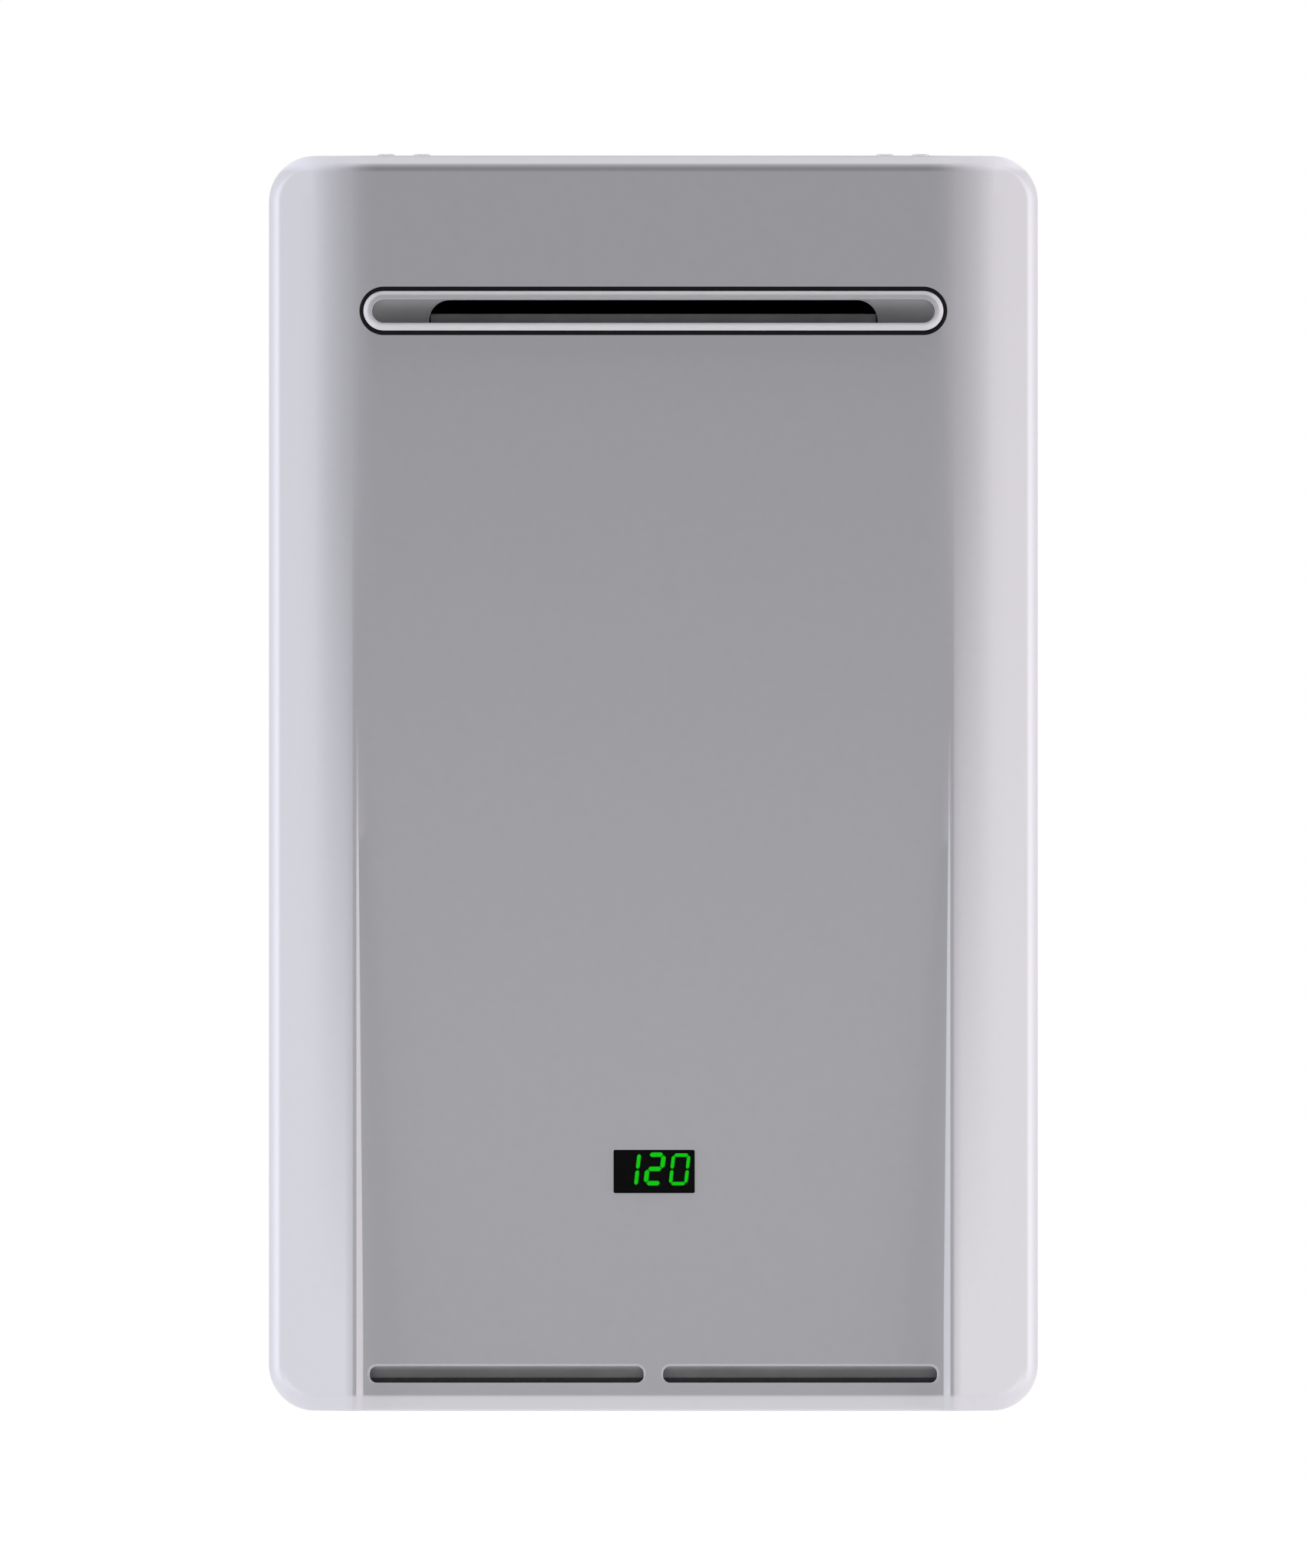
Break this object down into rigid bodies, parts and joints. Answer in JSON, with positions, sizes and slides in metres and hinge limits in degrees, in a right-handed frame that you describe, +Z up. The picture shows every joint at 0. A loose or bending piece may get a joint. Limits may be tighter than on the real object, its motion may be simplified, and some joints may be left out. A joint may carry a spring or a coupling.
{
  "type": "tankless water heater",
  "caption": "Wall-hung outdoor tankless gas water heater with a removable bevelled front cover, slim exhaust outlet, digital display and bottom air slots and pipe fittings.",
  "frame": {"origin": "centre of the upper wall bracket's back face, on the wall plane", "axes": "+X to the right seen from the front, +Y towards the wall, +Z up; the front cover faces -Y"},
  "size_m": [0.357, 0.252, 0.5851],
  "materials": {
    "silver_paint": "semi-gloss metallic silver paint on pressed steel",
    "grey_paint": "satin silver-grey paint",
    "stainless": "brushed stainless steel",
    "galvanised": "galvanised sheet, faint spangle",
    "bright_steel": "zinc-plated steel",
    "blackened_steel": "blackened steel",
    "copper": "bare copper, lightly oxidised",
    "brass": "cast and machined brass",
    "cast_aluminium": "die-cast aluminium",
    "black_rubber": "matt black rubber",
    "smoked_lens": "glossy smoked plastic",
    "black_plastic": "moulded black plastic",
    "grey_plastic": "moulded grey plastic",
    "white_ceramic": "white glazed ceramic or moulded white plastic",
    "board_green": "green solder mask",
    "red_silicone": "red silicone cable jacket"
  },
  "bodies": {
    "root": {"case_shell": "grey_paint", "exhaust_ring": "stainless", "flue_hood": "stainless", "burner_rack": "stainless", "case_back": "galvanised", "upper_wall_bracket": "galvanised", "lower_wall_bracket": "galvanised", "bottom_plate": "galvanised", "burner_box": "galvanised", "fan_housing": "galvanised", "fan_inlet_plate": "galvanised", "control_bracket": "galvanised", "cover_screw_1": "bright_steel", "cover_screw_2": "bright_steel", "cover_screw_3": "bright_steel", "cover_screw_4": "bright_steel", "flue_baffle": "blackened_steel", "fan_motor": "blackened_steel", "combustion_jacket": "copper", "jacket_coil": "copper", "heat_exchanger_core": "copper", "gas_pipe": "copper", "cold_pipe": "copper", "hot_pipe": "copper", "bypass_pipe": "copper", "gas_inlet_fitting": "brass", "cold_inlet_fitting": "brass", "hot_outlet_fitting": "brass", "outlet_thermistor": "brass", "water_valve_body": "brass", "gas_manifold": "cast_aluminium", "gas_valve_body": "cast_aluminium", "exhaust_seal": "black_rubber", "cover_gasket": "black_rubber", "fan_cable": "black_rubber", "overheat_switch": "black_plastic", "main_solenoid": "black_plastic", "flow_sensor_body": "black_plastic", "water_valve_motor": "black_plastic", "display_module": "black_plastic", "ignition_transformer": "black_plastic", "cable_gland": "black_plastic", "modulating_solenoid": "grey_plastic", "control_box": "grey_plastic", "control_lid": "grey_plastic", "igniter_electrode": "white_ceramic", "flame_rod": "white_ceramic", "circuit_board": "board_green", "ignition_lead": "red_silicone"},
    "front_cover": {"front_cover": "silver_paint", "display_window": "smoked_lens", "intake_baffle": "grey_paint"},
    "fan_rotor": {"fan_impeller": "black_plastic"},
    "flow_rotor": {"flow_turbine": "white_ceramic"},
    "valve_disc": {"water_valve_disc": "brass"},
    "main_plunger": {"main_plunger": "bright_steel"},
    "modulating_plunger": {"modulating_plunger": "bright_steel"},
    "filter_plug": {"inlet_filter_plug": "black_plastic"},
    "drain_plug": {"drain_plug": "black_plastic"}
  },
  "joints": [
    {"name": "cover_lift_off", "type": "slide", "parent": "root", "child": "front_cover", "axis": [0, -1, 0], "range_m": [0, 0.25]},
    {"name": "fan_spin", "type": "hinge", "parent": "root", "child": "fan_rotor", "pos_m": [-0.046, -0.08, -0.421], "axis": [0, -1, 0], "continuous": true},
    {"name": "turbine_spin", "type": "hinge", "parent": "root", "child": "flow_rotor", "pos_m": [0.13, -0.095, -0.4267], "axis": [0, 0, 1], "continuous": true},
    {"name": "valve_turn", "type": "hinge", "parent": "root", "child": "valve_disc", "pos_m": [0.13, -0.095, -0.3824], "axis": [0, -1, 0], "range_deg": [0, 90]},
    {"name": "main_plunger_slide", "type": "slide", "parent": "root", "child": "main_plunger", "axis": [0, -1, 0], "range_m": [0, 0.003], "stiffness_N_per_m": 300, "springref_m": -0.004},
    {"name": "modulating_plunger_slide", "type": "slide", "parent": "root", "child": "modulating_plunger", "axis": [0, -1, 0], "range_m": [0, 0.003], "stiffness_N_per_m": 300, "springref_m": -0.004},
    {"name": "filter_plug_pull", "type": "slide", "parent": "root", "child": "filter_plug", "axis": [0, 0, -1], "range_m": [0, 0.06]},
    {"name": "drain_plug_pull", "type": "slide", "parent": "root", "child": "drain_plug", "axis": [0, 0, -1], "range_m": [0, 0.04]}
  ]
}
